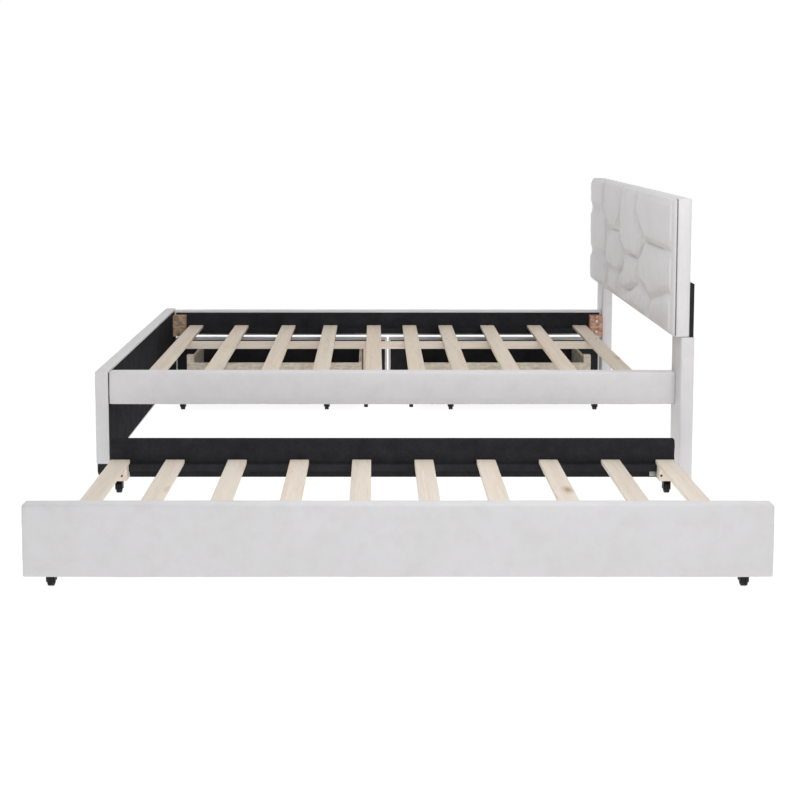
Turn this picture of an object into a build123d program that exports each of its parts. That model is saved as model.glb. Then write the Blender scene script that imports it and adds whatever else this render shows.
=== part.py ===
from build123d import *
import os

# Upholstered bed with a roll-out trundle on its near side (-Y) and two storage
# drawers on its far side (+Y). Millimetres. X runs along the bed, with the headboard
# at +X. Z is up from the floor. The bed is drawn as it stands in use: trundle pulled
# fully out, drawers shut. The origin is on the floor, in the middle of that footprint.

# ---- driving dimensions -------------------------------------------------------------
BAY = 2050.0               # clear length between footboard and headboard legs
FRAME_WIDTH = 1636.0       # over the outer faces of the two side rails
PANEL = 48.0               # thickness of the upholstered panels and legs
SKIN = 4.0                 # upholstery over the boards
LINING = 2.0               # black cloth on the faces that point inwards
RAIL_THICK = 50.0
RAIL_BOTTOM = 262.0
RAIL_TOP = 380.0
FOOTBOARD_BOTTOM = 44.0
FOOTBOARD_TOP = 385.0
FOOTBOARD_PROUD = 10.0     # each end of the footboard, past the rail faces

HEAD_OVERHANG = 75.0       # headboard and its legs, past the rail faces
HEAD_BOTTOM = 520.0
HEAD_TOP = 1012.0
HEAD_FRONT = 995.0         # X of the cushion's front
HEAD_SEAM = 1006.0         # X where the cushion meets the border
HEAD_BACK = 1055.0
LEG_WIDTH = 150.0
STIFFENER_TOP = 709.0      # black board that carries on up behind the headboard
GLIDE = 6.0

SLAT_WIDTH = 66.0
SLAT_THICK = 14.0
DECK_TOP = 311.0           # top of the main slats
SLAT_SPREAD = (85.0, 275.0, 476.0, 700.0, 918.0)   # slat centres each side of middle
MIDDLE_PAIR_SHIFT = 18.0   # the two middle slats sit a little towards the headboard
LEDGER_THICK = 20.0
LEDGER_TALL = 25.0

BEAM_SETBACK = 1178.0      # beam centre, from the near rail's outer face
BEAM_THICK = 40.0
BEAM_TALL = 29.0
BEAM_HALF = 940.0
SUPPORT_LEG_X = 102.0
SUPPORT_LEG = 24.0
SUPPORT_FOOT_R = 9.0
SUPPORT_FOOT_TALL = 20.0

PULL_OUT = 1226.0          # trundle travel, from flush with the rail to fully out
TRUNDLE_LENGTH = 2041.0
TRUNDLE_REAR_LENGTH = 1963.0
TRUNDLE_DEPTH = 1058.0
TRUNDLE_REAR_THICK = 27.0
DRAWER_BOTTOM = 46.0       # lower edge of trundle panels and drawer fronts
DRAWER_TOP = 247.0
TRUNDLE_REAR_TOP = 180.0
TRUNDLE_DECK_TOP = 110.0
TRUNDLE_END_SLAT = 947.0   # centre of the first and last trundle slats
TRUNDLE_END_GAP = 190.0    # from those to the next ones

CASTER_TALL = 48.0
WHEEL_R = 20.0
WHEEL_WIDTH = 17.0
AXLE_R = 3.0
BORE_CLEARANCE = 0.05
FORK_GAP = 20.0
FORK_CHEEK = 2.5

DRAWER_GAP = 9.0           # between the two drawer fronts
DRAWER_BACK = 1097.0       # back of the drawer box, from the near rail's outer face
DRAWER_SIDE_IN = 122.0     # inner side of the box, from the middle of the bed
DRAWER_SIDE_OUT = 897.0
DRAWER_BOTTOM_OUT = 943.0
DRAWER_BOX_TOP = 215.0
DRAWER_BOARD = 12.0

# ---- places worked out from them ----------------------------------------------------
NEAR = (PULL_OUT - FRAME_WIDTH - HEAD_OVERHANG) / 2     # near rail's outer face
FAR = NEAR + FRAME_WIDTH
OUT = NEAR - PULL_OUT                                   # trundle's front face, pulled out
HALF = BAY / 2
FOOT_X = -HALF - PANEL
LEG_BACK = HALF + PANEL
SLAT_BOTTOM = DECK_TOP - SLAT_THICK
TRUNDLE_SLAT_BOTTOM = TRUNDLE_DECK_TOP - SLAT_THICK
DRAWER_FRONT_BACK = FAR - PANEL                         # inner face of the drawer fronts


def block(x, y, z):
    """A box from its low and high limits, given in any order."""
    lows = [min(pair) for pair in (x, y, z)]
    sizes = [abs(pair[1] - pair[0]) for pair in (x, y, z)]
    return Pos(*lows) * Box(*sizes, align=(Align.MIN, Align.MIN, Align.MIN))


def inset(span, low, high):
    """A span made shorter by one amount at each end."""
    return (min(span) + low, max(span) - high)


def save(name, *solids):
    shape = solids[0] if len(solids) == 1 else Compound(children=list(solids))
    export_step(shape, f"parts/{name}.step")


def upholstered_panel(name, x, y, z, lined):
    """Board in a soft cover, with black cloth on the one face named by lined."""
    axis, side = "xyz".index(lined[1]), lined[0]
    spans = [x, y, z]
    cavity = [inset(span, SKIN, SKIN) for span in spans]
    board = list(cavity)
    cloth = list(cavity)
    low, high = min(spans[axis]), max(spans[axis])
    if side == "+":
        cavity[axis] = (low + SKIN, high)
        board[axis] = (low + SKIN, high - LINING)
        cloth[axis] = (high - LINING, high)
    else:
        cavity[axis] = (low, high - SKIN)
        board[axis] = (low + LINING, high - SKIN)
        cloth[axis] = (low, low + LINING)
    save(f"{name}_board", block(*board))
    save(f"{name}_cover", block(*spans) - block(*cavity))
    save(f"{name}_lining", block(*cloth))


# ---- bed frame ----------------------------------------------------------------------
def footboard():
    ends = (NEAR - FOOTBOARD_PROUD, FAR + FOOTBOARD_PROUD)
    upholstered_panel("footboard", (FOOT_X, -HALF), ends,
                      (FOOTBOARD_BOTTOM, FOOTBOARD_TOP), "+x")
    foot_x = inset((FOOT_X, -HALF), 4.0, 4.0)
    foot_long = 60.0
    chamfer_size = 14.0
    feet = []
    for end, inward in ((ends[0] + 4.0, 1), (ends[1] - 4.0, -1)):
        foot = block(foot_x, (end, end + inward * foot_long), (0, FOOTBOARD_BOTTOM))
        outer = foot.edges().filter_by(Axis.X).group_by(Axis.Z)[0]
        outer = outer.sort_by(Axis.Y)[0 if inward > 0 else -1]
        feet.append(chamfer(outer, chamfer_size))
    save("footboard_feet", *feet)


def side_rails():
    upholstered_panel("near_rail", (-HALF, HALF), (NEAR, NEAR + RAIL_THICK),
                      (RAIL_BOTTOM, RAIL_TOP), "+y")
    upholstered_panel("far_rail", (-HALF, HALF), (FAR - RAIL_THICK, FAR),
                      (RAIL_BOTTOM, RAIL_TOP), "-y")


def corner_blocks_and_bolts():
    long, deep, top = 60.0, 45.0, 361.0
    head_tall, bolt_long = 4.0, 75.0
    blocks, bolts = [], []
    for end in (-1, 1):
        x = (end * HALF, end * (HALF - long))
        for face, inward in ((NEAR + RAIL_THICK, 1), (FAR - RAIL_THICK, -1)):
            y = (face, face + inward * deep)
            blocks.append(block(x, y, (RAIL_BOTTOM, top)))
            for z in (286.0, 336.0):
                bolt = Rot(inward * -90, 0, 0) * fastener(6.0, head_tall, 3.0, bolt_long)
                bolts.append(Pos(end * (HALF - long / 2), y[1] + inward * head_tall, z) * bolt)
    save("corner_blocks", *blocks)
    return bolts


def slat_ledgers():
    z = (SLAT_BOTTOM - LEDGER_TALL, SLAT_BOTTOM)
    x = (-950.0, 950.0)
    near = block(x, (NEAR + RAIL_THICK, NEAR + RAIL_THICK + LEDGER_THICK), z)
    far = block(x, (FAR - RAIL_THICK, FAR - RAIL_THICK - LEDGER_THICK), z)
    save("slat_ledgers", near, far)


def main_slat_centres():
    centres = []
    for spread in SLAT_SPREAD:
        shift = MIDDLE_PAIR_SHIFT if spread == SLAT_SPREAD[0] else 0.0
        centres += [shift - spread, shift + spread]
    return sorted(centres)


def main_slats():
    end_gap = 2.0
    y = (NEAR + RAIL_THICK + end_gap, FAR - RAIL_THICK - end_gap)
    slats = []
    for centre in main_slat_centres():
        x = (centre - SLAT_WIDTH / 2, centre + SLAT_WIDTH / 2)
        slats.append(block(x, y, (SLAT_BOTTOM, DECK_TOP)))
    save("main_slats", *slats)


def slat_screws():
    """Wood screws set flush: one at each slat end, a pair over the beam on every third slat."""
    ledger_line = RAIL_THICK + LEDGER_THICK / 2 + 2.0
    beam_y = NEAR + BEAM_SETBACK
    screws = []
    for number, centre in enumerate(main_slat_centres()):
        spots = [(centre, NEAR + ledger_line), (centre, FAR - ledger_line)]
        if number % 3 == 0:
            spots += [(centre - 15.0, beam_y), (centre + 15.0, beam_y)]
        for x, y in spots:
            screws.append(Pos(x, y, DECK_TOP) * fastener(4.0, 2.5, 2.0, 30.0))
    save("slat_screws", *screws)


def fastener(head_r, head_tall, shank_r, length):
    """Screw or bolt that points down, with the top of its head at the origin."""
    head = Pos(0, 0, -head_tall / 2) * Cylinder(head_r, head_tall)
    shank = Pos(0, 0, -length / 2) * Cylinder(shank_r, length)
    return head + shank


def centre_support():
    beam_y = NEAR + BEAM_SETBACK
    y = (beam_y - BEAM_THICK / 2, beam_y + BEAM_THICK / 2)
    beam_bottom = SLAT_BOTTOM - BEAM_TALL
    save("support_beam", block((-BEAM_HALF, BEAM_HALF), y, (beam_bottom, SLAT_BOTTOM)))
    half = SUPPORT_LEG / 2
    legs, feet = [], []
    for x in (-SUPPORT_LEG_X, SUPPORT_LEG_X):
        legs.append(block((x - half, x + half), (beam_y - half, beam_y + half),
                          (SUPPORT_FOOT_TALL, beam_bottom)))
        foot = Cylinder(SUPPORT_FOOT_R, SUPPORT_FOOT_TALL)
        feet.append(Pos(x, beam_y, SUPPORT_FOOT_TALL / 2) * foot)
    save("support_legs", *legs)
    save("support_feet", *feet)


# ---- headboard ----------------------------------------------------------------------
def headboard():
    y = (NEAR - HEAD_OVERHANG, FAR + HEAD_OVERHANG)
    z = (HEAD_BOTTOM, HEAD_TOP)
    inner_y = inset(y, SKIN, SKIN)
    inner_z = inset(z, SKIN, SKIN)
    back_cloth = HEAD_BACK - LINING
    body = (HEAD_SEAM, HEAD_BACK)
    save("headboard_cushion", block((HEAD_FRONT, HEAD_SEAM), y, z))
    save("headboard_board", block((HEAD_SEAM, back_cloth), inner_y, inner_z))
    save("headboard_back_cloth", block((back_cloth, HEAD_BACK), inner_y, inner_z))
    save("headboard_cover", block(body, y, z) - block(body, inner_y, inner_z))


def headboard_legs():
    z = (GLIDE, HEAD_BOTTOM)
    legs, covers, stiffeners, glides, bolts = [], [], [], [], []
    for outer, inward in ((NEAR - HEAD_OVERHANG, 1), (FAR + HEAD_OVERHANG, -1)):
        y = (outer, outer + inward * LEG_WIDTH)
        core = inset(y, SKIN, SKIN)
        legs.append(block((HALF + SKIN, HEAD_BACK), core, z))
        covers.append(block((HALF, LEG_BACK), y, z)
                      - block((HALF + SKIN, LEG_BACK - SKIN), core, z))
        stiffeners.append(leg_stiffener(core, inward))
        glides.append(block(inset((HALF, LEG_BACK), 6, 6), inset(y, 15, 15), (0, GLIDE)))
        for height in (570.0, 660.0):
            bolt = Rot(0, 90, 0) * fastener(8.0, 3.0, 4.0, 50.0)
            bolts.append(Pos(LEG_BACK - SKIN + 3.0, sum(core) / 2, height) * bolt)
    save("leg_boards", *legs)
    save("leg_covers", *covers)
    save("leg_stiffeners", *stiffeners)
    save("leg_glides", *glides)
    return bolts


def leg_stiffener(y, inward):
    """Full-height board with its upper inner corner cut off at a slant."""
    cut = 60.0
    board = block((HEAD_BACK, LEG_BACK - SKIN), y, (GLIDE, STIFFENER_TOP))
    top = board.edges().filter_by(Axis.X).group_by(Axis.Z)[-1]
    return chamfer(top.sort_by(Axis.Y)[-1 if inward > 0 else 0], cut)


# ---- casters ------------------------------------------------------------------------
def fork(x, y):
    """Rigid fork with its pin, open in front and behind, for a wheel that rolls along Y."""
    outer = FORK_GAP / 2 + FORK_CHEEK
    plate = 3.0
    cheek_reach = 13.0
    body = block((-20.0, 20.0), (-18.0, 18.0), (CASTER_TALL - plate, CASTER_TALL))
    low = WHEEL_R - AXLE_R - 3.0
    for side in (-1, 1):
        span = (side * FORK_GAP / 2, side * outer)
        body += block(span, (-cheek_reach, cheek_reach), (low, CASTER_TALL - plate))
    pin = Pos(0, 0, WHEEL_R) * Rot(0, 90, 0) * Cylinder(AXLE_R, 2 * outer + 2.0)
    return Pos(x, y, 0) * (body + pin)


def wheel(x, y):
    rim = Cylinder(WHEEL_R, WHEEL_WIDTH)
    rim = fillet(rim.edges(), 2.5)
    rim -= Cylinder(AXLE_R + BORE_CLEARANCE, WHEEL_WIDTH + 2.0)
    return Pos(x, y, WHEEL_R) * Rot(0, 90, 0) * rim


def casters(owner, spots):
    """One group of forks, and one wheel node for each place in spots."""
    save(f"{owner}_caster_forks", *[fork(x, y) for x, y in spots.values()])
    for place, (x, y) in spots.items():
        save(f"{owner}_wheel_{place}", wheel(x, y))


# ---- trundle ------------------------------------------------------------------------
def trundle():
    half = TRUNDLE_LENGTH / 2
    upholstered_panel("trundle_front", (-half, half), (OUT, OUT + PANEL),
                      (DRAWER_BOTTOM, DRAWER_TOP), "+y")
    rear_front = OUT + TRUNDLE_DEPTH - TRUNDLE_REAR_THICK
    rear_half = TRUNDLE_REAR_LENGTH / 2
    x = (-rear_half, rear_half)
    y = (rear_front, OUT + TRUNDLE_DEPTH)
    z = (DRAWER_BOTTOM, TRUNDLE_REAR_TOP)
    core = [inset(span, LINING, LINING) for span in (x, y, z)]
    core[2] = (DRAWER_BOTTOM, TRUNDLE_REAR_TOP - LINING)
    save("trundle_rear_board", block(*core))
    save("trundle_rear_cloth", block(x, y, z) - block(*core))
    trundle_deck(OUT + PANEL, rear_front)


def trundle_deck(front, rear):
    """Slats on two ledgers, with a caster block under both ends of the outer slats."""
    block_in, block_wide = 917.0, 62.0
    front_deep, rear_deep = 40.0, 60.0
    front_shift = 10.0      # the front casters stand a little further out
    top = TRUNDLE_SLAT_BOTTOM
    ledge_z = (top - LEDGER_TALL, top)
    ledge_x = (-block_in, block_in)
    save("trundle_ledgers",
         block(ledge_x, (front, front + LEDGER_THICK), ledge_z),
         block(ledge_x, (rear - LEDGER_THICK, rear), ledge_z))
    gap = 2.0
    blocks = []
    spots = {}
    for end, name in ((-1, "foot"), (1, "head")):
        for y, depth, place, out in ((front, front_deep, "front", front_shift),
                                     (rear, -rear_deep, "rear", 0.0)):
            x = (end * block_in, end * (block_in + block_wide + out))
            blocks.append(block(x, (y, y + depth), (CASTER_TALL, top)))
            spots[f"{place}_{name}"] = (end * (block_in + block_wide / 2 + out),
                                        y + depth / 2)
    save("trundle_caster_blocks", *blocks)
    save("trundle_bracket", corner_bracket(block_in, rear, CASTER_TALL + 2.0))
    casters("trundle", spots)
    slats = []
    for centre in trundle_slat_centres():
        x = (centre - SLAT_WIDTH / 2, centre + SLAT_WIDTH / 2)
        slats.append(block(x, (front + gap, rear - gap), (top, TRUNDLE_DECK_TOP)))
    save("trundle_slats", *slats)


def corner_bracket(x, y, z):
    """Bent steel angle in the corner between a block face at x and a panel face at y."""
    reach, tall, thick = 22.0, 19.0, 2.0
    angle = block((x - thick, x), (y - reach, y), (z, z + tall))
    angle += block((x - reach, x), (y - thick, y), (z, z + tall))
    upright = angle.edges().filter_by(Axis.Z).group_by(Axis.Y)[-1].sort_by(Axis.X)[-1]
    angle = fillet(upright, thick * 0.9)
    screw = Cylinder(3.5, 1.5)
    along_y = Pos(x - 14.0, y - thick - 0.75, z + tall / 2) * Rot(90, 0, 0) * screw
    along_x = Pos(x - thick - 0.75, y - 14.0, z + tall / 2) * Rot(0, 90, 0) * screw
    return angle + along_y + along_x


def trundle_slat_centres():
    inner = TRUNDLE_END_SLAT - TRUNDLE_END_GAP
    count = 8
    step = 2 * inner / (count - 1)
    centres = [-inner + step * number for number in range(count)]
    return [-TRUNDLE_END_SLAT] + centres + [TRUNDLE_END_SLAT]


# ---- drawers ------------------------------------------------------------------------
def drawer(name, side):
    """One storage drawer; side is -1 at the footboard end and 1 at the headboard end."""
    front_x = (side * DRAWER_GAP / 2, side * TRUNDLE_LENGTH / 2)
    upholstered_panel(f"{name}_front", front_x, (DRAWER_FRONT_BACK, FAR),
                      (DRAWER_BOTTOM, DRAWER_TOP), "-y")
    floor_top = CASTER_TALL + 10.0
    back = NEAR + DRAWER_BACK
    front = DRAWER_FRONT_BACK
    save(f"{name}_bottom", block((side * DRAWER_SIDE_IN, side * DRAWER_BOTTOM_OUT),
                                 (back, front), (CASTER_TALL, floor_top)))
    save(f"{name}_box_boards", *drawer_boards(side, back, front, floor_top))
    inner, outer = side * 277.0, side * 920.0
    rear_y, front_y = back + 25.0, front - 25.0
    casters(name, {"rear_inner": (inner, rear_y), "rear_outer": (outer, rear_y),
                   "front_inner": (inner, front_y), "front_outer": (outer, front_y)})


def drawer_boards(side, back, front, floor_top):
    """Two side boards, the back board, and a tall post in the outer rear corner."""
    z = (floor_top, DRAWER_BOX_TOP)
    inner = side * (DRAWER_SIDE_IN + DRAWER_BOARD)
    outer = side * DRAWER_SIDE_OUT
    post_size, post_top = 30.0, 250.0
    post_in = outer - side * post_size
    post = block((post_in, outer), (back, back + post_size), (floor_top, post_top))
    inner_side = block((side * DRAWER_SIDE_IN, inner), (back, front), z)
    outer_side = block((outer - side * DRAWER_BOARD, outer), (back + post_size, front), z)
    back_board = block((inner, post_in), (back, back + DRAWER_BOARD), z)
    return [inner_side, outer_side, back_board, post]


os.makedirs("parts", exist_ok=True)
footboard()
side_rails()
slat_ledgers()
main_slats()
slat_screws()
centre_support()
headboard()
bolts = corner_blocks_and_bolts() + headboard_legs()
save("frame_bolts", *bolts)
trundle()
drawer("left_drawer", -1)
drawer("right_drawer", 1)
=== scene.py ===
import math

import bmesh
import bpy
import numpy as np
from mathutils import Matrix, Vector, noise


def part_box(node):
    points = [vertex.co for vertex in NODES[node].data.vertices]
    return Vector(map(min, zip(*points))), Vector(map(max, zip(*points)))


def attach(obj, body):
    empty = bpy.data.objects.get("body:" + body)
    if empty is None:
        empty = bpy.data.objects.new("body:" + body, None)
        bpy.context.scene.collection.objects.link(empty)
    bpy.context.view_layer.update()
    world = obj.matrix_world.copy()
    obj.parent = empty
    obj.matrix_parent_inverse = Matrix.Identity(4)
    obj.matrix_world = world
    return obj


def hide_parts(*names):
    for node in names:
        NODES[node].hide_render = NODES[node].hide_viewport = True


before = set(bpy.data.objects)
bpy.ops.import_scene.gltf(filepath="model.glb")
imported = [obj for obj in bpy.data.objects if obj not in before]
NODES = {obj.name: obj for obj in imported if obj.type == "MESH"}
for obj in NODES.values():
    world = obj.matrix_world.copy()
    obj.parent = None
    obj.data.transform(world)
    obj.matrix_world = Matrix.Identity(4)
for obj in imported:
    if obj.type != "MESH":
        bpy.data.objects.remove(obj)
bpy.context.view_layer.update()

MM = 0.001


# ---- materials ----------------------------------------------------------------------
def new_material(name, color, roughness):
    """A Principled material, with its node tree, shader and object coordinates."""
    material = bpy.data.materials.new(name)
    material.use_nodes = True
    tree = material.node_tree
    shader = tree.nodes["Principled BSDF"]
    shader.inputs["Base Color"].default_value = (*color, 1)
    shader.inputs["Roughness"].default_value = roughness
    coords = tree.nodes.new("ShaderNodeTexCoord")
    return material, tree, shader, coords.outputs["Object"]


def scaled(tree, vector, scale):
    """Coordinates stretched by a factor along each axis."""
    mapping = tree.nodes.new("ShaderNodeMapping")
    mapping.inputs["Scale"].default_value = scale
    tree.links.new(vector, mapping.inputs["Vector"])
    return mapping.outputs["Vector"]


def noise_node(tree, vector, scale, detail=4.0, roughness=0.55):
    """Cloudy noise from about 0.3 to 0.7, with that many features per metre."""
    node = tree.nodes.new("ShaderNodeTexNoise")
    node.inputs["Scale"].default_value = scale
    node.inputs["Detail"].default_value = detail
    node.inputs["Roughness"].default_value = roughness
    tree.links.new(vector, node.inputs["Vector"])
    return node.outputs["Fac"]


def cells(tree, vector, scale, output="Distance"):
    """Small cells: the distance to each cell's middle, or its random colour."""
    node = tree.nodes.new("ShaderNodeTexVoronoi")
    node.inputs["Scale"].default_value = scale
    tree.links.new(vector, node.inputs["Vector"])
    return node.outputs[output]


def ramp(tree, value, stops):
    """Colour ramp; stops are (position, colour)."""
    node = tree.nodes.new("ShaderNodeValToRGB")
    elements = node.color_ramp.elements
    while len(elements) < len(stops):
        elements.new(0.5)
    for element, (position, color) in zip(elements, stops):
        element.position = position
        element.color = (*color, 1)
    tree.links.new(value, node.inputs["Fac"])
    return node.outputs["Color"]


def remap(tree, value, low, high):
    """A value from 0 to 1, moved to the range from low to high."""
    node = tree.nodes.new("ShaderNodeMapRange")
    node.inputs["To Min"].default_value = low
    node.inputs["To Max"].default_value = high
    tree.links.new(value, node.inputs["Value"])
    return node.outputs["Result"]


def mix(tree, factor, a, b, blend="MIX"):
    """Mixes the colour socket b over a, as far as the number factor says."""
    node = tree.nodes.new("ShaderNodeMix")
    node.data_type = "RGBA"
    node.blend_type = blend
    node.inputs["Factor"].default_value = factor
    tree.links.new(a, node.inputs["A"])
    tree.links.new(b, node.inputs["B"])
    return node.outputs["Result"]


def add(tree, a, b, weight):
    """a + weight * b, for heights."""
    node = tree.nodes.new("ShaderNodeMath")
    node.operation = "MULTIPLY_ADD"
    node.inputs[1].default_value = weight
    tree.links.new(b, node.inputs[0])
    tree.links.new(a, node.inputs[2])
    return node.outputs[0]


def bump(tree, shader, height, strength, distance):
    """Lets a height pattern tilt the surface; distance is its depth in metres."""
    node = tree.nodes.new("ShaderNodeBump")
    node.inputs["Strength"].default_value = strength
    node.inputs["Distance"].default_value = distance
    tree.links.new(height, node.inputs["Height"])
    tree.links.new(node.outputs["Normal"], shader.inputs["Normal"])


def faux_leather():
    """White coated fabric: a fine pebble grain over a very soft, uneven foam."""
    material, tree, shader, at = new_material("white_faux_leather", (0.72, 0.71, 0.72), 0.46)
    cloudy = noise_node(tree, at, 5.0, 3.0)
    tint = ramp(tree, cloudy, [(0.35, (0.712, 0.702, 0.712)), (0.65, (0.735, 0.722, 0.738))])
    handled = noise_node(tree, at, 23.0, 5.0, 0.65)
    smudge = ramp(tree, handled, [(0.30, (0.955, 0.950, 0.945)), (0.55, (1.0, 1.0, 1.0))])
    tree.links.new(mix(tree, 1.0, tint, smudge, "MULTIPLY"), shader.inputs["Base Color"])
    gloss = remap(tree, noise_node(tree, at, 40.0, 4.0), 0.38, 0.56)
    tree.links.new(gloss, shader.inputs["Roughness"])
    pebbles = cells(tree, at, 620.0)
    creases = noise_node(tree, at, 260.0, 5.0, 0.6)
    soft = noise_node(tree, at, 14.0, 2.0)
    height = add(tree, add(tree, pebbles, creases, 0.8), soft, 6.0)
    bump(tree, shader, height, 0.22, 0.0007)
    shader.inputs["Coat Weight"].default_value = 0.06
    shader.inputs["Coat Roughness"].default_value = 0.35
    return material


def black_cloth():
    """Spun non-woven cloth with small pressed dots and loose fuzz."""
    material, tree, shader, at = new_material("black_nonwoven", (0.03, 0.03, 0.032), 0.92)
    patchy = noise_node(tree, at, 16.0, 6.0, 0.65)
    tint = ramp(tree, patchy, [(0.25, (0.019, 0.019, 0.021)), (0.75, (0.034, 0.035, 0.038))])
    fibres = noise_node(tree, scaled(tree, at, (700, 700, 260)), 1.0, 6.0, 0.7)
    fibre_tint = ramp(tree, fibres, [(0.35, (0.75, 0.75, 0.75)), (0.72, (1.45, 1.45, 1.5))])
    tree.links.new(mix(tree, 1.0, tint, fibre_tint, "MULTIPLY"), shader.inputs["Base Color"])
    dots = cells(tree, at, 330.0)
    bump(tree, shader, add(tree, dots, fibres, 0.7), 0.5, 0.0006)
    shader.inputs["Specular IOR Level"].default_value = 0.02
    return material


def wood(name, grain, light, dark):
    """Planed softwood with its grain along one axis, growth bands, pores and a few knots."""
    material, tree, shader, at = new_material(name, light, 0.62)
    along, across = 1.6, 34.0        # growth bands per metre, with the grain and across it
    stretch = [across, across, across]
    stretch["xyz".index(grain)] = along
    fine_stretch = [value * 9.0 for value in stretch]
    fine_stretch["xyz".index(grain)] = along * 6.0
    bands = noise_node(tree, scaled(tree, at, stretch), 1.0, 5.0, 0.62)
    middle = [(a + b) / 2 for a, b in zip(light, dark)]
    figure = ramp(tree, bands, [(0.30, light), (0.52, middle), (0.60, dark), (0.72, light)])
    plank_size = [7.0, 7.0, 7.0]
    plank_size["xyz".index(grain)] = 0.12
    planks = noise_node(tree, scaled(tree, at, plank_size), 1.0, 1.0)
    plank_tint = ramp(tree, planks, [(0.34, (0.91, 0.90, 0.89)), (0.50, (1.0, 1.0, 1.0)),
                                     (0.66, (1.03, 0.97, 0.93))])
    pores = noise_node(tree, scaled(tree, at, fine_stretch), 1.0, 4.0, 0.7)
    pore_tint = ramp(tree, pores, [(0.30, (0.84, 0.80, 0.75)), (0.47, (1.0, 1.0, 1.0))])
    knot_at = [5.5, 5.5, 5.5]
    knot_at["xyz".index(grain)] = 2.3
    knots = cells(tree, scaled(tree, at, knot_at), 1.0)
    knot_tint = ramp(tree, knots, [(0.035, (0.46, 0.30, 0.18)), (0.075, (0.80, 0.68, 0.56)),
                                   (0.14, (1.0, 1.0, 1.0))])
    color = mix(tree, 0.75, figure, plank_tint, "MULTIPLY")
    color = mix(tree, 0.8, color, pore_tint, "MULTIPLY")
    color = mix(tree, 0.75, color, knot_tint, "MULTIPLY")
    tree.links.new(color, shader.inputs["Base Color"])
    tree.links.new(remap(tree, bands, 0.50, 0.75), shader.inputs["Roughness"])
    bump(tree, shader, add(tree, pores, bands, 1.5), 0.35, 0.0006)
    return material


def plywood(name, light, dark, tint_along_x=None):
    """Raw sheet wood: pressed flakes of several browns, with thin layers along Z.

    tint_along_x is a tint from the bed's middle, at 0.5, to its head end, at 1.0."""
    material, tree, shader, at = new_material(name, light, 0.75)
    flakes = cells(tree, scaled(tree, at, (70, 70, 95)), 1.0, "Color")
    flake_value = tree.nodes.new("ShaderNodeSeparateColor")
    tree.links.new(flakes, flake_value.inputs["Color"])
    middle = [(a + b) / 2 for a, b in zip(light, dark)]
    chips = ramp(tree, flake_value.outputs[0], [(0.0, dark), (0.45, middle), (1.0, light)])
    grain = noise_node(tree, scaled(tree, at, (18, 18, 160)), 1.0, 5.0, 0.6)
    streaks = ramp(tree, grain, [(0.32, (0.72, 0.66, 0.58)), (0.60, (1.0, 1.0, 1.0))])
    color = mix(tree, 0.8, chips, streaks, "MULTIPLY")
    if tint_along_x:
        split = tree.nodes.new("ShaderNodeSeparateXYZ")
        tree.links.new(at, split.inputs["Vector"])
        along_bed = remap(tree, split.outputs["X"], 0.5, 1.0)
        color = mix(tree, 1.0, color, ramp(tree, along_bed, tint_along_x), "MULTIPLY")
    tree.links.new(color, shader.inputs["Base Color"])
    rough = noise_node(tree, at, 420.0, 4.0)
    bump(tree, shader, add(tree, grain, rough, 0.6), 0.45, 0.0008)
    return material


def moulded_plastic(name, color, roughness):
    """Moulded black plastic or rubber: a faint spark-eroded texture and scuffs."""
    material, tree, shader, at = new_material(name, color, roughness)
    scuffs = noise_node(tree, at, 90.0, 6.0, 0.7)
    worn = [value * 2.1 + 0.006 for value in color]
    tint = ramp(tree, scuffs, [(0.45, color), (0.80, worn)])
    tree.links.new(tint, shader.inputs["Base Color"])
    tree.links.new(remap(tree, scuffs, roughness - 0.1, roughness + 0.15),
                   shader.inputs["Roughness"])
    bump(tree, shader, noise_node(tree, at, 1500.0, 3.0), 0.25, 0.0003)
    shader.inputs["Specular IOR Level"].default_value = 0.25
    return material


def metal(name, color, roughness, metallic):
    """Plated or painted metal with dull spots and a fine grain."""
    material, tree, shader, at = new_material(name, color, roughness)
    shader.inputs["Metallic"].default_value = metallic
    spots = noise_node(tree, at, 220.0, 5.0, 0.65)
    dull = [value * 0.72 for value in color]
    tree.links.new(ramp(tree, spots, [(0.40, dull), (0.62, color)]), shader.inputs["Base Color"])
    tree.links.new(remap(tree, spots, roughness - 0.08, roughness + 0.18),
                   shader.inputs["Roughness"])
    bump(tree, shader, noise_node(tree, at, 900.0, 3.0), 0.12, 0.0002)
    return material


LIGHT_WOOD = (0.82, 0.73, 0.61)
DARK_WOOD = (0.73, 0.63, 0.51)
LEATHER = faux_leather()
CLOTH = black_cloth()
SLAT_WOOD = wood("slat_wood_across", "y", LIGHT_WOOD, DARK_WOOD)
PALE_SLAT_WOOD = wood("pale_slat_wood", "y", (0.93, 0.85, 0.75), (0.85, 0.75, 0.63))
BEAM_WOOD = wood("beam_wood_along", "x", (0.80, 0.73, 0.64), (0.70, 0.61, 0.51))
POST_WOOD = wood("post_wood_upright", "z", LIGHT_WOOD, DARK_WOOD)
PLYWOOD = plywood("drawer_plywood", (0.62, 0.58, 0.50), (0.50, 0.45, 0.37))
BLOCK_WOOD = plywood("corner_block_wood", (0.66, 0.50, 0.40), (0.34, 0.21, 0.16),
                     [(0.30, (0.74, 0.90, 0.74)), (0.70, (1.0, 0.80, 0.72))])
CASTER_BLOCK_WOOD = wood("caster_block_wood", "z", (0.86, 0.80, 0.71), (0.76, 0.68, 0.57))
PLASTIC = moulded_plastic("black_foot_plastic", (0.010, 0.010, 0.011), 0.50)
TREAD = moulded_plastic("wheel_rubber", (0.010, 0.010, 0.011), 0.60)
FORK_PAINT = metal("black_painted_steel", (0.007, 0.007, 0.008), 0.48, 0.0)
BRACKET_STEEL = metal("bracket_steel", (0.40, 0.40, 0.39), 0.28, 1.0)
ZINC = metal("zinc_plate", (0.62, 0.62, 0.60), 0.32, 1.0)
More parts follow.
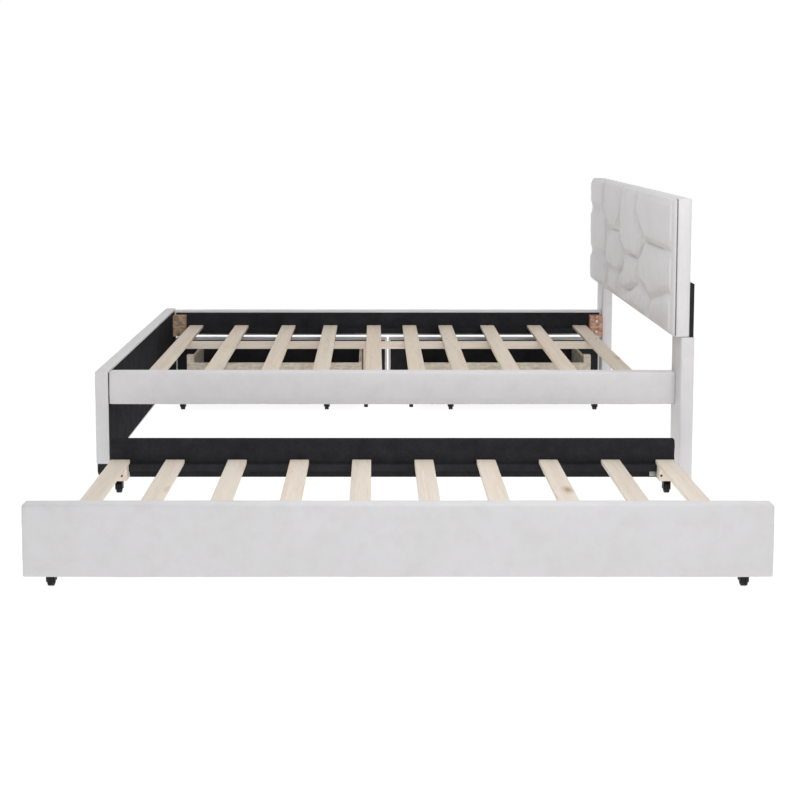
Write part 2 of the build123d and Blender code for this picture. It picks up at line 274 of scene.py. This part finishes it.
DARK_STEEL = metal("blackened_screw", (0.03, 0.028, 0.026), 0.5, 0.6)

NODE_LOOKS = {
    "corner_blocks": BLOCK_WOOD,
    "support_beam": BEAM_WOOD,
    "support_legs": POST_WOOD,
    "support_feet": PLASTIC,
    "footboard_feet": PLASTIC,
    "leg_glides": PLASTIC,
    "trundle_caster_blocks": CASTER_BLOCK_WOOD,
    "trundle_bracket": BRACKET_STEEL,
    "frame_bolts": ZINC,
    "slat_screws": DARK_STEEL,
    "slat_ledgers": CLOTH,
    "trundle_ledgers": CLOTH,
    "leg_stiffeners": CLOTH,
}


def dress_cad_nodes():
    """Gives every CAD node that stays in view its finished material."""
    for name, node in NODES.items():
        if name in NODE_LOOKS:
            look = NODE_LOOKS[name]
        elif name.endswith("_forks"):
            look = FORK_PAINT
        elif name.endswith("_bottom"):
            look = CLOTH
        elif name.endswith("_board") or name.endswith("_boards"):
            look = PLYWOOD
        else:
            look = LEATHER
        node.data.materials.clear()
        node.data.materials.append(look)


# ---- mesh helpers -------------------------------------------------------------------
def spread(low, high, radius_low, radius_high, step):
    """Grid lines from low to high, closer together in the rounded ends."""
    lines_in_turn = 5
    turn = [1 - math.cos(angle) for angle in np.linspace(0, math.pi / 2, lines_in_turn)]
    start, stop = low + radius_low, high - radius_high
    count = max(1, round((stop - start) / step))
    middle = [start + (stop - start) * i / count for i in range(1, count)]
    return ([low + radius_low * t for t in turn] + middle
            + [high - radius_high * t for t in reversed(turn)])


def rounded_panel(name, low, high, radii, step, shape):
    """A closed box with rounded edges and a grid on every face.

    radii holds, for each axis, how deep the rounding is at its low and its high end.
    shape(point, normal) returns how far that surface point stands out along its normal."""
    lines = [spread(low[a], high[a], *radii[a], step) for a in range(3)]
    last = [len(line) - 1 for line in lines]
    bm = bmesh.new()
    made = {}

    def corner(key):
        if key in made:
            return made[key]
        core, reach, turn = Vector(), Vector(), Vector()
        for a in range(3):
            value = lines[a][key[a]]
            at_high = value > (low[a] + high[a]) / 2
            reach[a] = radii[a][at_high]
            core[a] = min(max(value, low[a] + radii[a][0]), high[a] - radii[a][1])
            turn[a] = (value - core[a]) / reach[a]
        turn.normalize()
        point = Vector([core[a] + turn[a] * reach[a] for a in range(3)])
        normal = Vector([turn[a] / reach[a] for a in range(3)]).normalized()
        point += normal * shape(point, normal)
        made[key] = bm.verts.new(point)
        return made[key]

    for axis in range(3):
        a, b = [other for other in range(3) if other != axis]
        for end in (0, last[axis]):
            for i in range(last[a]):
                for j in range(last[b]):
                    ring = []
                    for di, dj in ((0, 0), (1, 0), (1, 1), (0, 1)):
                        key = [0, 0, 0]
                        key[axis], key[a], key[b] = end, i + di, j + dj
                        ring.append(corner(tuple(key)))
                    bm.faces.new(ring)
    bmesh.ops.recalc_face_normals(bm, faces=bm.faces)
    return finished(name, bm)


def finished(name, bm):
    """Turns the mesh being built in to a smooth-shaded object in the scene."""
    mesh = bpy.data.meshes.new(name)
    for face in bm.faces:
        face.smooth = True
    bm.to_mesh(mesh)
    bm.free()
    piece = bpy.data.objects.new(name, mesh)
    bpy.context.scene.collection.objects.link(piece)
    return piece


def place(piece, body, slot, look, *nodes):
    """Puts a finished piece on its body, with its material, in place of CAD nodes."""
    piece.data.materials.append(look)
    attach(piece, body)
    if nodes:
        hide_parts(*nodes)


def cloud(point, size, seed):
    """Smooth noise from -1 to 1 with features of about that size, in metres."""
    return noise.noise(point / size + Vector((seed * 7.3, seed * 3.1, seed * 5.7)))


# ---- upholstered panels -------------------------------------------------------------
SOFT_EDGE = 7 * MM          # how deep foam under leather rounds an edge
TIGHT_EDGE = 3 * MM         # the same where the leather is pulled over a bare board edge
FOAM_SWELL = 1.2 * MM       # how far the thin foam lifts the leather
LEATHER_INSET = 0.3 * MM    # keeps the swollen leather inside the panel's own size
PANEL_STEP = 14 * MM        # grid of the leather pieces
CLOTH_STEP = 9 * MM         # grid of the black cloths
CLOTH_THICK = 0.6 * MM


def foam_shape(low, high, seed):
    """Thin foam under tight leather: a slight crown, slow waves and tucks near the ends."""
    tuck_depth, tuck_reach = 0.9 * MM, 40 * MM
    low, high = Vector(low), Vector(high)
    size = high - low
    long_axis = max(range(3), key=lambda a: size[a])

    def shape(point, normal):
        crown = 1.0
        for axis in range(3):
            if abs(normal[axis]) < 0.5:
                t = 2 * (point[axis] - low[axis]) / size[axis] - 1
                crown *= 1 - abs(t) ** 8
        waves = 0.9 * cloud(point, 0.20, seed) + 0.5 * cloud(point, 0.06, seed + 1)
        end = min(point[long_axis] - low[long_axis], high[long_axis] - point[long_axis])
        tuck = math.exp(-end / tuck_reach) * cloud(point, 0.016, seed + 2)
        return FOAM_SWELL * crown * (0.55 + 0.8 * waves) - tuck_depth * tuck * crown
    return shape


def cover(name, body, node, lined, seed):
    """The leather of one panel, wrapped on to the edge of its lined face, such as -y."""
    low, high = [Vector(corner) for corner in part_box(node)]
    radii = [[SOFT_EDGE, SOFT_EDGE] for _ in range(3)]
    radii[2][0] = TIGHT_EDGE
    axis = "xyz".index(lined[1])
    recess = 1.2 * MM        # the cloth covers this face, a little above the leather
    if lined[0] == "-":
        low[axis] += recess
        radii[axis][0] = TIGHT_EDGE
    else:
        high[axis] -= recess
        radii[axis][1] = TIGHT_EDGE
    for other in range(3):
        if other != axis:
            low[other] += LEATHER_INSET
            high[other] -= LEATHER_INSET
    swollen_face = foam_shape(low, high, seed)
    inner = 1 if lined[0] == "+" else -1

    def shape(point, normal):
        return 0.0 if normal[axis] * inner > 0.3 else swollen_face(point, normal)

    piece = rounded_panel(name, low, high, radii, PANEL_STEP, shape)
    place(piece, body, "upholstery", LEATHER, node)


def lining(name, body, node, lined, seed, wrinkle=1.6 * MM, lip=5 * MM):
    """The black cloth stapled over one panel's inner face, with slack wrinkles.

    The leather shows as a lip all round it."""
    sunk, hold = 0.5 * MM, 20 * MM    # the cloth's edge lies in the leather and stays flat
    low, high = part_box(node)
    axis = "xyz".index(lined[1])
    out = 1 if lined[0] == "+" else -1
    face = high[axis] if out > 0 else low[axis]
    a, b = [other for other in range(3) if other != axis]
    start = (low[a] + lip, low[b] + lip)
    size = (high[a] - low[a] - 2 * lip, high[b] - low[b] - 2 * lip)
    counts = [max(2, round(value / CLOTH_STEP)) for value in size]
    bm = bmesh.new()
    rows = []
    for i in range(counts[0] + 1):
        row = []
        for j in range(counts[1] + 1):
            point = Vector((0, 0, 0))
            point[a] = start[0] + size[0] * i / counts[0]
            point[b] = start[1] + size[1] * j / counts[1]
            edge = min(i, counts[0] - i, j, counts[1] - j)
            loose = 1 - math.exp(-edge * CLOTH_STEP / hold)
            slant = Vector(point)
            slant[b] = point[b] * 0.45 + point[a] * 0.25
            fold = abs(cloud(slant, 0.055, seed) + 0.5 * cloud(point, 0.022, seed + 1))
            point[axis] = face + out * (wrinkle * loose * fold - sunk)
            row.append(bm.verts.new(point))
        rows.append(row)
    for i in range(counts[0]):
        for j in range(counts[1]):
            bm.faces.new((rows[i][j], rows[i + 1][j], rows[i + 1][j + 1], rows[i][j + 1]))
    bmesh.ops.recalc_face_normals(bm, faces=bm.faces)
    if bm.faces[0].normal[axis] * out < 0:
        bmesh.ops.reverse_faces(bm, faces=bm.faces)
    bmesh.ops.solidify(bm, geom=bm.faces[:], thickness=CLOTH_THICK)
    piece = finished(name, bm)
    place(piece, body, "black_cloth", CLOTH, node)


def upholstery():
    """Leather outside and black cloth inside, on each of the six flat panels."""
    panels = [("footboard", "bed_frame", "+x"), ("near_rail", "bed_frame", "+y"),
              ("far_rail", "bed_frame", "-y"), ("trundle_front", "trundle", "+y"),
              ("left_drawer_front", "left_drawer", "-y"),
              ("right_drawer_front", "right_drawer", "-y")]
    for seed, (panel, body, lined) in enumerate(panels):
        cover(f"{panel}_leather", body, f"{panel}_cover", lined, 3 * seed)
        lining(f"{panel}_inner_cloth", body, f"{panel}_lining", lined,
               3 * seed + 1)


def wrapped_rear_panel():
    """The trundle's rear board, wrapped all round in slack black cloth."""
    low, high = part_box("trundle_rear_cloth")
    slack, sunk = 2.2 * MM, 0.4 * MM
    radii = [[3 * MM] * 2] * 3

    def shape(point, normal):
        # Stretched along X, so that the folds run long and nearly level.
        drape = Vector((point.x * 0.22, point.y, point.z + 0.06 * point.x))
        fold = 1.6 * abs(cloud(drape, 0.035, 31)) + 0.4 * abs(cloud(point, 0.025, 33))
        sag = 1 - abs(2 * (point.z - low.z) / (high.z - low.z) - 1) ** 6
        return slack * fold * sag - sunk

    piece = rounded_panel("trundle_rear_wrap", low, high, radii, 10 * MM, shape)
    place(piece, "trundle", "black_cloth", CLOTH, "trundle_rear_cloth")


def headboard_legs():
    """The leather of the two legs; both legs' CAD covers are one node."""
    low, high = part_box("leg_covers")
    leg_width = 150 * MM
    room_on_top = 1.2 * MM
    radii = [[SOFT_EDGE] * 2, [SOFT_EDGE] * 2, [2 * MM] * 2]
    for number, (name, start) in enumerate((("near", low.y), ("far", high.y - leg_width))):
        a = Vector((low.x + LEATHER_INSET, start + LEATHER_INSET, low.z))
        b = Vector((high.x - LEATHER_INSET, start + leg_width - LEATHER_INSET,
                    high.z - room_on_top))
        piece = rounded_panel(f"{name}_leg_leather", a, b, radii, PANEL_STEP,
                              foam_shape(a, b, 40 + number))
        replaced = ["leg_covers"] if number == 0 else []
        place(piece, "bed_frame", "upholstery", LEATHER, *replaced)


# ---- headboard ----------------------------------------------------------------------
# Seams of the staggered stone pattern, in millimetres: across from the near end of the
# headboard, and up from its lower edge.
UPRIGHT_SEAMS = [
    [(668, 492), (655, 380), (515, 295), (615, 215), (600, 130), (400, 85), (440, 0)],
    [(985, 492), (1015, 385), (1045, 292), (925, 212), (950, 150), (1055, 100), (1010, 0)],
    [(1435, 492), (1425, 415), (1345, 283), (1350, 180), (1330, 110), (1290, 0)],
]
LEVEL_SEAMS = [
    [(60, 296), (515, 295)],
    [(60, 150), (370, 85)],
    [(615, 215), (925, 212)],
    [(600, 120), (721, 86), (900, 52), (1010, 58)],
    [(1045, 292), (1200, 287), (1345, 283)],
    [(1055, 102), (1330, 116)],
    [(1410, 362), (1786, 352)],
    [(1345, 150), (1786, 142)],
]
# Parts of the level seams that are pulled tight: from and to across, from and to up.
HARD_PULLS = [(165, 500, 285, 305), (625, 890, 205, 225), (1035, 1260, 275, 300),
              (700, 890, 40, 95)]


def soft_line(points):
    """A smooth line through the points, as an array of samples."""
    per_span = 14
    points = np.array(points, float)
    if len(points) == 2:
        return points
    padded = np.vstack([2 * points[0] - points[1], points, 2 * points[-1] - points[-2]])
    samples = []
    for p0, p1, p2, p3 in zip(padded, padded[1:], padded[2:], padded[3:]):
        t = np.linspace(0, 1, per_span, endpoint=False)[:, None]
        samples.append(0.5 * (2 * p1 + (p2 - p0) * t + (2 * p0 - 5 * p1 + 4 * p2 - p3) * t ** 2
                              + (3 * p1 - p0 - 3 * p2 + p3) * t ** 3))
    return np.vstack(samples + [points[-1:]])


def distance_to(lines, u, v):
    """Distance from every grid point to the nearest of the lines, in millimetres."""
    nearest = np.full(u.shape, 1e9)
    for line in lines:
        for (x0, y0), (x1, y1) in zip(line, line[1:]):
            dx, dy = x1 - x0, y1 - y0
            t = ((u - x0) * dx + (v - y0) * dy) / (dx * dx + dy * dy + 1e-9)
            t = np.clip(t, 0, 1)
            nearest = np.minimum(nearest, np.hypot(u - x0 - t * dx, v - y0 - t * dy))
    return nearest


# All in millimetres:
LIP = 6.0                # how far the rim's side wall stands out from the border seam
VALLEY = 5.0             # the same for the stitched seams between the stones
CROWN = 19.0             # the same for the fullest stones
NEAR_ROLL = 58.0         # how far in the cushion still rounds off at its near end
EDGE_ROLL = 17.0         # the same at its other three edges
SEAM_HOLD = 5.0          # the skin is stitched down within this distance of a seam
UPRIGHT_VALLEY = 10.0    # how far an upright seam draws the stones down on each side
LEVEL_VALLEY = 20.0      # the same for a level seam, which is wider and shallower
LEVEL_DEPTH = 0.38       # how deep a level valley is, as a share of the crown
UPRIGHT_CREASE = 2.0     # depth of the sharp crease in an upright seam
FOLD_HEIGHT = 2.6        # how high the loose folds beside the seams stand
GRID_ACROSS, GRID_UP = 299, 83    # points of the skin, about 6 mm apart
SETTLE_FRAMES = 20       # steps of the cloth simulation
MOST_SWELL = 5 * MM      # how far the simulation may move a point
GROOVE = 9 * MM          # how far the back is drawn in behind the rim


def headboard_cushion():
    """Stuffed stones between stitched seams: swollen, then relaxed as cloth under pressure."""
    low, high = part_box("headboard_cushion")
    width, tall = (high.y - low.y) / MM, (high.z - low.z) / MM
    seam_x = high.x
    across = np.linspace(0, width, GRID_ACROSS)
    up = np.linspace(0, tall, GRID_UP)
    u, v = np.meshgrid(across, up, indexing="ij")
    upright, level = seam_distances(u, v)
    held = (upright < SEAM_HOLD) | (level < SEAM_HOLD)
    rim = roll(u / NEAR_ROLL) * roll((width - u) / EDGE_ROLL)
    rim *= roll(v / EDGE_ROLL) * roll((tall - v) / EDGE_ROLL)
    body = swollen(held, np.minimum(np.minimum(u, width - u), np.minimum(v, tall - v)))
    steep = 1 - np.exp(-(upright / UPRIGHT_VALLEY) ** 1.6)
    gentle = 1 - LEVEL_DEPTH * np.exp(-(level / LEVEL_VALLEY) ** 1.4)
    stone = steep * gentle * (0.78 + 0.22 * body)
    face = LIP + rim * (VALLEY - LIP + (CROWN - VALLEY) * stone)
    piece = open_grid("headboard_stone_cushion", seam_x - face * MM, low.y + u * MM,
                      low.z + v * MM)
    relaxed = swell_as_cloth(piece, held)
    free = np.clip((np.minimum(upright, level) - SEAM_HOLD) / 16.0, 0, 1)
    free = (free * (rim > 0.9))[..., None]
    start = grid_points(piece, u.shape)
    moved = np.clip(relaxed.reshape(start.shape) - start, -MOST_SWELL, MOST_SWELL)
    write_points(piece, start + free * moved)
    smooth = piece.modifiers.new("smooth", "SUBSURF")
    smooth.levels = smooth.render_levels = 1
    bake_modifiers(piece)
    add_seam_detail(piece, low, width, tall)
    close_back(piece, seam_x - 0.4 * MM)
    place(piece, "bed_frame", "upholstery", LEATHER, "headboard_cushion")


def seam_distances(u, v):
    """Distance from every grid point to the nearest upright and level seam."""
    upright = distance_to([soft_line(line) for line in UPRIGHT_SEAMS], u, v)
    level = distance_to([soft_line(line) for line in LEVEL_SEAMS], u, v)
    return upright, level


def add_seam_detail(piece, low, width, tall):
    """Tight creases along the seams and loose folds beside them, on the fine mesh."""
    points = np.empty(len(piece.data.vertices) * 3)
    piece.data.vertices.foreach_get("co", points)
    points = points.reshape(-1, 3)
    u = (points[:, 1] - low.y) / MM
    v = (points[:, 2] - low.z) / MM
    upright, level = seam_distances(u, v)
    edge = np.minimum(np.minimum(u - 12, width - u), np.minimum(v, tall - v))
    inside = np.clip(edge / 30.0, 0, 1)
    crease = UPRIGHT_CREASE * np.exp(-(upright / 7.0) ** 2)
    crease += tightness(u, v) * np.exp(-(level / 4.2) ** 2)
    near_seam = np.exp(-level / 34.0) + 0.45 * np.exp(-upright / 26.0) + 0.10
    folds = np.array([loose_fold(a, b) for a, b in zip(u, v)])
    points[:, 0] += (crease - FOLD_HEIGHT * folds * near_seam) * inside * MM
    write_points(piece, points)


def tightness(u, v):
    """How deep the level seams are pulled, in millimetres: hard in places, then fading."""
    slight, hard, fade = 0.5, 8.5, 50.0
    pull = np.full(u.shape, slight)
    for start, stop, bottom, top in HARD_PULLS:
        ends = np.clip((u - start) / fade, 0, 1) * np.clip((stop - u) / fade, 0, 1)
        pull += hard * ends * ((v > bottom) & (v < top))
    return pull


def loose_fold(u, v):
    """Sharp-crested folds, mostly upright, from 0 to 1."""
    wander = noise.noise(Vector((u / 95.0, v / 70.0, 4.0)))
    ridge = 1 - abs(noise.noise(Vector((u / 46.0 + wander, v / 120.0, 9.0)))) * 5.0
    return max(ridge, 0.0) ** 1.5


def roll(t):
    """Quarter-round profile from 0 at an edge to 1 one radius in."""
    return np.sqrt(1 - (1 - np.clip(t, 0, 1)) ** 2)


def open_grid(name, x, y, z):
    """A sheet of faces through a grid of points, open at its rim."""
    bm = bmesh.new()
    rows, columns = x.shape
    grid = [[bm.verts.new((x[i, j], y[i, j], z[i, j])) for j in range(columns)]
            for i in range(rows)]
    for i in range(rows - 1):
        for j in range(columns - 1):
            bm.faces.new((grid[i][j], grid[i][j + 1], grid[i + 1][j + 1], grid[i + 1][j]))
    return finished(name, bm)


def grid_points(piece, shape):
    """Where the points of an open grid are, as an array of that shape."""
    points = np.empty(shape[0] * shape[1] * 3)
    piece.data.vertices.foreach_get("co", points)
    return points.reshape(shape[0], shape[1], 3)


def write_points(piece, points):
    """Moves the points of a piece to these places."""
    piece.data.vertices.foreach_set("co", points.ravel())
    piece.data.update()


def swell_as_cloth(piece, stitched):
    """Where cloth with a little slack settles under pressure, held at its seams and rim."""
    held = stitched.copy()
    held[0, :] = held[-1, :] = held[:, 0] = held[:, -1] = True
    group = piece.vertex_groups.new(name="held")
    group.add([int(i) for i in np.flatnonzero(held)], 1.0, "REPLACE")
    cloth = piece.modifiers.new("cloth", "CLOTH")
    settings = cloth.settings
    settings.quality = 5
    settings.mass = 0.05
    settings.tension_stiffness = settings.compression_stiffness = 12
    settings.bending_stiffness = 0.2
    settings.shrink_min = -0.035        # the skin has 3.5% to spare
    settings.use_pressure = True
    settings.uniform_pressure_force = 4
    settings.vertex_group_mass = "held"
    settings.effector_weights.gravity = 0
    cloth.collision_settings.use_collision = False
    cloth.point_cache.frame_start = 1
    cloth.point_cache.frame_end = SETTLE_FRAMES
    scene = bpy.context.scene
    for frame_number in range(1, SETTLE_FRAMES + 1):
        scene.frame_set(frame_number)
    relaxed = piece.evaluated_get(bpy.context.evaluated_depsgraph_get())
    points = np.empty(len(relaxed.data.vertices) * 3)
    relaxed.data.vertices.foreach_get("co", points)
    piece.modifiers.remove(cloth)
    piece.vertex_groups.remove(group)
    scene.frame_set(1)
    return points


def bake_modifiers(piece):
    """Makes what the modifiers do part of the mesh."""
    shaped = piece.evaluated_get(bpy.context.evaluated_depsgraph_get())
    mesh = bpy.data.meshes.new_from_object(shaped)
    piece.modifiers.clear()
    piece.data = mesh
    for polygon in mesh.polygons:
        polygon.use_smooth = True


def close_back(piece, back_x):
    """Turns the open rim in to a groove along the border seam and closes the flat back.

    Each turn has its share of the groove's depth, and how far it is ahead of the back, mm."""
    turns = [(0.10, 4.6), (0.55, 3.6), (1.0, 2.2), (1.0, 0.0)]
    bm = bmesh.new()
    bm.from_mesh(piece.data)
    low = Vector([min(vert.co[a] for vert in bm.verts) for a in range(3)])
    high = Vector([max(vert.co[a] for vert in bm.verts) for a in range(3)])
    middle = (low + high) / 2
    ring = [edge for edge in bm.edges if edge.is_boundary]
    previous = 0.0
    for share, ahead in turns:
        result = bmesh.ops.extrude_edge_only(bm, edges=ring)["geom"]
        ring = [item for item in result if isinstance(item, bmesh.types.BMEdge)
                and item.is_boundary]
        for vert in {vert for edge in ring for vert in edge.verts}:
            for axis in (1, 2):
                half = (high[axis] - low[axis]) / 2
                narrower = (half - GROOVE * share) / (half - GROOVE * previous)
                vert.co[axis] = middle[axis] + (vert.co[axis] - middle[axis]) * narrower
            vert.co.x = back_x - ahead * MM
        previous = share
    bmesh.ops.contextual_create(bm, geom=ring)
    bmesh.ops.recalc_face_normals(bm, faces=bm.faces)
    bm.to_mesh(piece.data)
    bm.free()


def swollen(held, edge):
    """Height from 0 to 1 of a skin held where held is true, blown up from behind."""
    rounds, push = 700, 0.01
    height = np.zeros(held.shape)
    fixed = held | (edge <= 0)
    for _ in range(rounds):
        around = np.zeros_like(height)
        around[1:-1, 1:-1] = (height[2:, 1:-1] + height[:-2, 1:-1]
                              + height[1:-1, 2:] + height[1:-1, :-2]) / 4 + push
        height = np.where(fixed, 0.0, around)
    return np.minimum(height / np.quantile(height, 0.93), 1.0) ** 0.5


def headboard_body():
    """The leather border round the headboard's edge, and the cloth over its back."""
    low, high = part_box("headboard_cover")
    recess = 1.3 * MM        # the cloth covers the border's back, a little above the leather
    a = low + Vector((0.0, LEATHER_INSET, LEATHER_INSET))
    b = high - Vector((recess, LEATHER_INSET, LEATHER_INSET))
    radii = [[1.5 * MM, 5 * MM], [6 * MM] * 2, [6 * MM] * 2]
    swollen_face = foam_shape(a, b, 50)

    def shape(point, normal):
        return 0.0 if abs(normal.x) > 0.3 else swollen_face(point, normal)

    border = rounded_panel("headboard_border_leather", a, b, radii, PANEL_STEP, shape)
    place(border, "bed_frame", "upholstery", LEATHER, "headboard_cover")
    lining("headboard_dust_cloth", "bed_frame", "headboard_back_cloth",
           "+x", 60, wrinkle=1.2 * MM, lip=9 * MM)


# ---- slats --------------------------------------------------------------------------
def islands(node):
    """Low and high corners of each separate solid of a node, along X and then along Y."""
    bm = bmesh.new()
    bm.from_mesh(NODES[node].data)
    bmesh.ops.remove_doubles(bm, verts=bm.verts, dist=1e-6)
    left = set(bm.verts)
    boxes = []
    while left:
        stack = [left.pop()]
        group = []
        while stack:
            vert = stack.pop()
            group.append(vert.co.copy())
            for edge in vert.link_edges:
                other = edge.other_vert(vert)
                if other in left:
                    left.remove(other)
                    stack.append(other)
        boxes.append((Vector([min(c[a] for c in group) for a in range(3)]),
                      Vector([max(c[a] for c in group) for a in range(3)])))
    bm.free()
    return sorted(boxes, key=lambda box: (round(box[0].x, 4), box[0].y))


def slats(node, body, look, seed):
    """Sawn slats with eased edges, each a little bowed along its length."""
    most_bow, rough = 0.9 * MM, 0.12 * MM
    radii = [[3 * MM] * 2, [8 * MM] * 2, [2 * MM] * 2]
    for number, (low, high) in enumerate(islands(node)):
        middle = (low.y + high.y) / 2
        half = (high.y - low.y) / 2
        bow = most_bow * noise.noise(Vector((number * 1.7, seed, 0.5)))

        def shape(point, normal):
            along = (point.y - middle) / half
            rise = bow * (1 - along * along) * (1 if normal.z > 0 else -1)
            return rise * abs(normal.z) + rough * cloud(point, 0.03, seed)

        piece = rounded_panel(f"{node}_{number + 1}", low, high, radii, 16 * MM, shape)
        replaced = [node] if number == 0 else []
        place(piece, body, "slat_wood", look, *replaced)


# ---- casters ------------------------------------------------------------------------
def wheel(node):
    """A moulded wheel: two rounded treads with a groove between, and a dished hub."""
    low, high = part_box(node)
    centre = (low + high) / 2
    radius = (high.z - low.z) / 2
    half = (high.x - low.x) / 2
    hub, groove, bore = 0.62 * radius, 0.9 * radius, 3.2 * MM
    # Half of the section, from the bore to the groove: along the pin, and out from it.
    profile = [(-half * 0.55, bore), (-half * 0.6, hub * 0.55), (-half * 0.45, hub * 0.7),
               (-half * 0.5, hub), (-half, hub * 1.08), (-half, radius - 2.2 * MM),
               (-half + 0.8 * MM, radius - 0.6 * MM), (-half + 2.4 * MM, radius),
               (-1.6 * MM, radius), (-0.9 * MM, radius - 0.5 * MM), (-0.6 * MM, groove)]
    profile += [(-x, r) for x, r in reversed(profile)]
    sharp = math.radians(40)
    turns = 56
    bm = bmesh.new()
    rings = []
    for step in range(turns):
        angle = 2 * math.pi * step / turns
        rings.append([bm.verts.new((centre.x + x, centre.y + r * math.sin(angle),
                                    centre.z + r * math.cos(angle))) for x, r in profile])
    for ring, following in zip(rings, rings[1:] + rings[:1]):
        for i in range(len(profile)):
            j = (i + 1) % len(profile)
            bm.faces.new((ring[i], ring[j], following[j], following[i]))
    bmesh.ops.recalc_face_normals(bm, faces=bm.faces)
    for edge in bm.edges:
        edge.smooth = edge.calc_face_angle() < sharp
    piece = finished(f"{node}_moulded", bm)
    place(piece, node, "wheel_tread", TREAD, node)


def block_screws():
    """A dark screw in the front of each of the trundle's two rear caster blocks."""
    board_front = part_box("trundle_rear_cloth")[0].y
    rear_blocks = [low for low, high in islands("trundle_caster_blocks")
                   if abs(high.y - board_front) < MM]
    above_block = 19 * MM
    screw("foot_block_screw", rear_blocks[0] + Vector((45 * MM, 0, above_block)))
    screw("head_block_screw", rear_blocks[1] + Vector((7 * MM, 0, above_block)))


def screw(name, at):
    """A domed, slotted screw head on a face that looks along -Y."""
    # Radius, and how far the head stands out there, in millimetres.
    profile = [(0.5, 0.6), (1.3, 0.9), (3.6, 0.7), (4.2, 0.2), (4.2, -2.0)]
    recess, recess_deep, recess_radius = 1.2, 0.8, 3.0
    turns = 28
    bm = bmesh.new()
    tip = bm.verts.new(at + Vector((0, recess * MM, 0)))
    rings = []
    for r, out in profile:
        ring = []
        for step in range(turns):
            angle = 2 * math.pi * step / turns
            cut = recess_deep if r < recess_radius and step % 7 < 2 else 0.0
            ring.append(bm.verts.new(at + MM * Vector((r * math.cos(angle), cut - out,
                                                       r * math.sin(angle)))))
        rings.append(ring)
    for i in range(turns):
        j = (i + 1) % turns
        bm.faces.new((tip, rings[0][i], rings[0][j]))
        for inner, outer in zip(rings, rings[1:]):
            bm.faces.new((inner[i], outer[i], outer[j], inner[j]))
    bm.faces.new(rings[-1])
    bmesh.ops.recalc_face_normals(bm, faces=bm.faces)
    place(finished(name, bm), "trundle", "bolt_steel", DARK_STEEL)


# ---- camera, light and floor --------------------------------------------------------
def camera():
    """View across the bed from in front of the trundle, looking a little down."""
    data = bpy.data.cameras.new("camera")
    data.sensor_width = 36.0
    data.lens = 59.95
    data.shift_x = 0.0317
    data.shift_y = -0.2001
    data.clip_end = 60.0
    view = bpy.data.objects.new("camera", data)
    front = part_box("trundle_front_cover")[0].y
    aside, away, height = -0.0631, 3.5269, 1.2755
    look_down = 5
    view.location = (aside, front - away, height)
    view.rotation_euler = (math.radians(90 - look_down), 0, 0)
    bpy.context.scene.collection.objects.link(view)
    bpy.context.scene.camera = view


def area_light(name, place_at, aim, size, power):
    """A white rectangular light at one point, turned towards another."""
    data = bpy.data.lights.new(name, "AREA")
    data.shape = "RECTANGLE"
    data.size, data.size_y = size
    data.energy = power
    light = bpy.data.objects.new(name, data)
    light.location = place_at
    light.rotation_euler = (Vector(aim) - Vector(place_at)).to_track_quat("-Z", "Y").to_euler()
    bpy.context.scene.collection.objects.link(light)


def studio():
    """A white floor and sky, and three soft lights."""
    floor_half = 90.0
    bm = bmesh.new()
    corners = [(-1, -1), (1, -1), (1, 1), (-1, 1)]
    bm.faces.new([bm.verts.new((x * floor_half, y * floor_half, 0)) for x, y in corners])
    floor = finished("studio_floor", bm)
    floor.data.materials.append(lit_white_floor())
    pale_sky()
    area_light("top_light", (0.3, -0.1, 3.9), (0, -0.1, 0), (4.5, 5.0), 63)
    area_light("rail_light", (0.3, -1.75, 1.85), (0.3, -0.25, 0.25), (1.6, 0.5), 13)
    area_light("front_light", (2.6, -12.5, 3.2), (0, -1.0, 0.2), (4.0, 3.5), 262)
    bpy.context.scene.view_settings.view_transform = "Standard"


def lit_white_floor():
    """A dull grey floor that is lit from inside, so that it looks white with faint shadows."""
    material, tree, shader, at = new_material("lit_white_floor", (0.2, 0.2, 0.2), 0.9)
    tint = ramp(tree, noise_node(tree, at, 2.0, 2.0), [(0.3, (0.19, 0.19, 0.19)),
                                                      (0.7, (0.21, 0.21, 0.21))])
    tree.links.new(tint, shader.inputs["Base Color"])
    shader.inputs["Specular IOR Level"].default_value = 0.0
    shader.inputs["Emission Color"].default_value = (1, 1, 1, 1)
    shader.inputs["Emission Strength"].default_value = 0.93
    return material


def pale_sky():
    """Dim white all round, with a bright backdrop behind the far side of the bed."""
    world = bpy.data.worlds.new("studio")
    world.use_nodes = True
    tree = world.node_tree
    coords = tree.nodes.new("ShaderNodeTexCoord")
    split = tree.nodes.new("ShaderNodeSeparateXYZ")
    tree.links.new(coords.outputs["Generated"], split.inputs["Vector"])
    dim = (0.30, 0.30, 0.30)
    glow = ramp(tree, split.outputs["Y"], [(0.55, dim), (0.90, (1, 1, 1))])
    sky = tree.nodes["Background"]
    tree.links.new(glow, sky.inputs["Color"])
    sky.inputs["Strength"].default_value = 1.02
    bpy.context.scene.world = world


dress_cad_nodes()
upholstery()
wrapped_rear_panel()
headboard_legs()
headboard_body()
headboard_cushion()
slats("main_slats", "bed_frame", SLAT_WOOD, 1)
slats("trundle_slats", "trundle", PALE_SLAT_WOOD, 2)
for node_name in sorted(NODES):
    if "_wheel_" in node_name:
        wheel(node_name)
block_screws()
camera()
studio()
